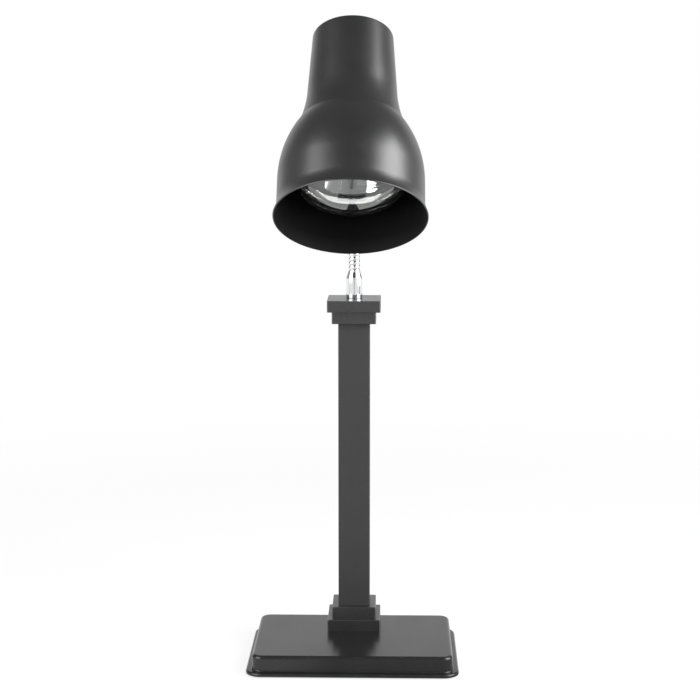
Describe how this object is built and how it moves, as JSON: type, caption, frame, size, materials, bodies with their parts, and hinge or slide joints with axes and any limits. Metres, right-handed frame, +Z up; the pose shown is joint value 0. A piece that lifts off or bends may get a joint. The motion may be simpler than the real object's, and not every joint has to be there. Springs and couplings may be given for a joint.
{
  "type": "food heat lamp",
  "caption": "Free-standing food heat lamp with a weighted base, square post, flexible gooseneck, bell-shaped black shade and reflector bulb.",
  "frame": {"origin": "on the post's axis, in the plane that the feet stand on", "axes": "+Z up along the post, -Y towards the front of the base, +X to the right seen from the front"},
  "size_m": [0.2496, 0.3026, 0.7614],
  "materials": {
    "black_enamel": "black enamel, semi-gloss",
    "black_powder": "black powder coat on cast aluminium, fine texture, matt",
    "black_powder_steel": "black powder coat on steel, fine texture, matt",
    "shade_powder": "black powder coat on spun aluminium, satin",
    "chrome": "polished chrome",
    "zinc_steel": "zinc-plated steel",
    "cast_iron": "bare casting",
    "rubber": "matt rubber",
    "white_ceramic": "glazed ceramic",
    "brass": "plain brass",
    "switch_plastic": "black moulded plastic",
    "rocker_plastic": "black gloss plastic",
    "clear_glass": "clear heat-resistant glass",
    "silvering": "vacuum silvering",
    "cap_metal": "nickel-plated screw cap",
    "black_glass": "black vitrite",
    "tungsten": "bare wire"
  },
  "bodies": {
    "stand": {"ballast": "cast_iron", "ballast_screws": "zinc_steel", "base_pillars": "zinc_steel", "base_shell": "black_enamel", "bottom_plate": "black_enamel", "cable_gland": "switch_plastic", "earth_nut": "brass", "earth_stud": "zinc_steel", "foot_screws": "zinc_steel", "gland_nut": "switch_plastic", "gooseneck_link_00": "chrome", "lower_collar": "black_powder", "lower_ferrule": "chrome", "post_tube": "black_powder_steel", "rubber_feet": "rubber", "switch_body": "switch_plastic", "terminal_block": "white_ceramic", "terminal_screws": "brass", "tie_nut": "zinc_steel", "tie_tube": "zinc_steel", "tie_washer": "zinc_steel", "upper_collar": "black_powder"},
    "link_1": {"gooseneck_link_01": "chrome"},
    "link_2": {"gooseneck_link_02": "chrome"},
    "link_3": {"gooseneck_link_03": "chrome"},
    "link_4": {"gooseneck_link_04": "chrome"},
    "link_5": {"gooseneck_link_05": "chrome"},
    "link_6": {"gooseneck_link_06": "chrome"},
    "link_7": {"gooseneck_link_07": "chrome"},
    "link_8": {"gooseneck_link_08": "chrome"},
    "head": {"upper_ferrule": "chrome", "neck_saddle": "black_powder", "lock_washer": "zinc_steel", "lock_nut": "zinc_steel", "shade": "shade_powder", "holder_bracket": "zinc_steel", "holder_screws": "zinc_steel", "lampholder": "white_ceramic", "screw_shell": "brass", "centre_contact": "brass", "gooseneck_link_09": "chrome"},
    "bulb": {"bulb_glass": "clear_glass", "bulb_silver": "silvering", "bulb_cap": "cap_metal", "bulb_insulator": "black_glass", "bulb_tip": "brass", "glass_stem": "clear_glass", "filament": "tungsten", "filament_supports": "tungsten"},
    "rocker": {"switch_rocker": "rocker_plastic"}
  },
  "joints": [
    {"name": "neck_bend_1", "type": "hinge", "parent": "stand", "child": "link_1", "pos_m": [0, 0, 0.482], "axis": [1, 0, 0], "range_deg": [-10, 10]},
    {"name": "neck_sway_1", "type": "hinge", "parent": "link_1", "child": "link_2", "pos_m": [0, 0, 0.5028], "axis": [0, 1, 0], "range_deg": [-10, 10]},
    {"name": "neck_bend_2", "type": "hinge", "parent": "link_2", "child": "link_3", "pos_m": [0, 0, 0.5236], "axis": [1, 0, 0], "range_deg": [-10, 10]},
    {"name": "neck_sway_2", "type": "hinge", "parent": "link_3", "child": "link_4", "pos_m": [0, 0, 0.5444], "axis": [0, 1, 0], "range_deg": [-10, 10]},
    {"name": "neck_bend_3", "type": "hinge", "parent": "link_4", "child": "link_5", "pos_m": [0, 0, 0.5652], "axis": [1, 0, 0], "range_deg": [-10, 10]},
    {"name": "neck_sway_3", "type": "hinge", "parent": "link_5", "child": "link_6", "pos_m": [0, 0, 0.586], "axis": [0, 1, 0], "range_deg": [-10, 10]},
    {"name": "neck_bend_4", "type": "hinge", "parent": "link_6", "child": "link_7", "pos_m": [0, -0.00001, 0.6068], "axis": [1, 0, 0], "range_deg": [-10, 10]},
    {"name": "neck_sway_4", "type": "hinge", "parent": "link_7", "child": "link_8", "pos_m": [0, -0.00474, 0.6269], "axis": [0, 0.9052, 0.4249], "range_deg": [-10, 10]},
    {"name": "neck_bend_5", "type": "hinge", "parent": "link_8", "child": "head", "pos_m": [0, -0.01719, 0.64338], "axis": [1, 0, 0], "range_deg": [-10, 10]},
    {"name": "bulb_out", "type": "slide", "parent": "head", "child": "bulb", "axis": [0, -0.5373, -0.8434], "range_m": [0, 0.2]},
    {"name": "rocker_tip", "type": "hinge", "parent": "stand", "child": "rocker", "pos_m": [0.068, 0.036, 0.014], "axis": [0, 0, 1], "range_deg": [-16, 0]}
  ],
  "couplings": [
    {"joint": "neck_bend_2", "follows": "neck_bend_1", "ratio": 1},
    {"joint": "neck_sway_2", "follows": "neck_sway_1", "ratio": 1},
    {"joint": "neck_bend_3", "follows": "neck_bend_1", "ratio": 1},
    {"joint": "neck_sway_3", "follows": "neck_sway_1", "ratio": 1},
    {"joint": "neck_bend_4", "follows": "neck_bend_1", "ratio": 1},
    {"joint": "neck_sway_4", "follows": "neck_sway_1", "ratio": 1},
    {"joint": "neck_bend_5", "follows": "neck_bend_1", "ratio": 1}
  ]
}
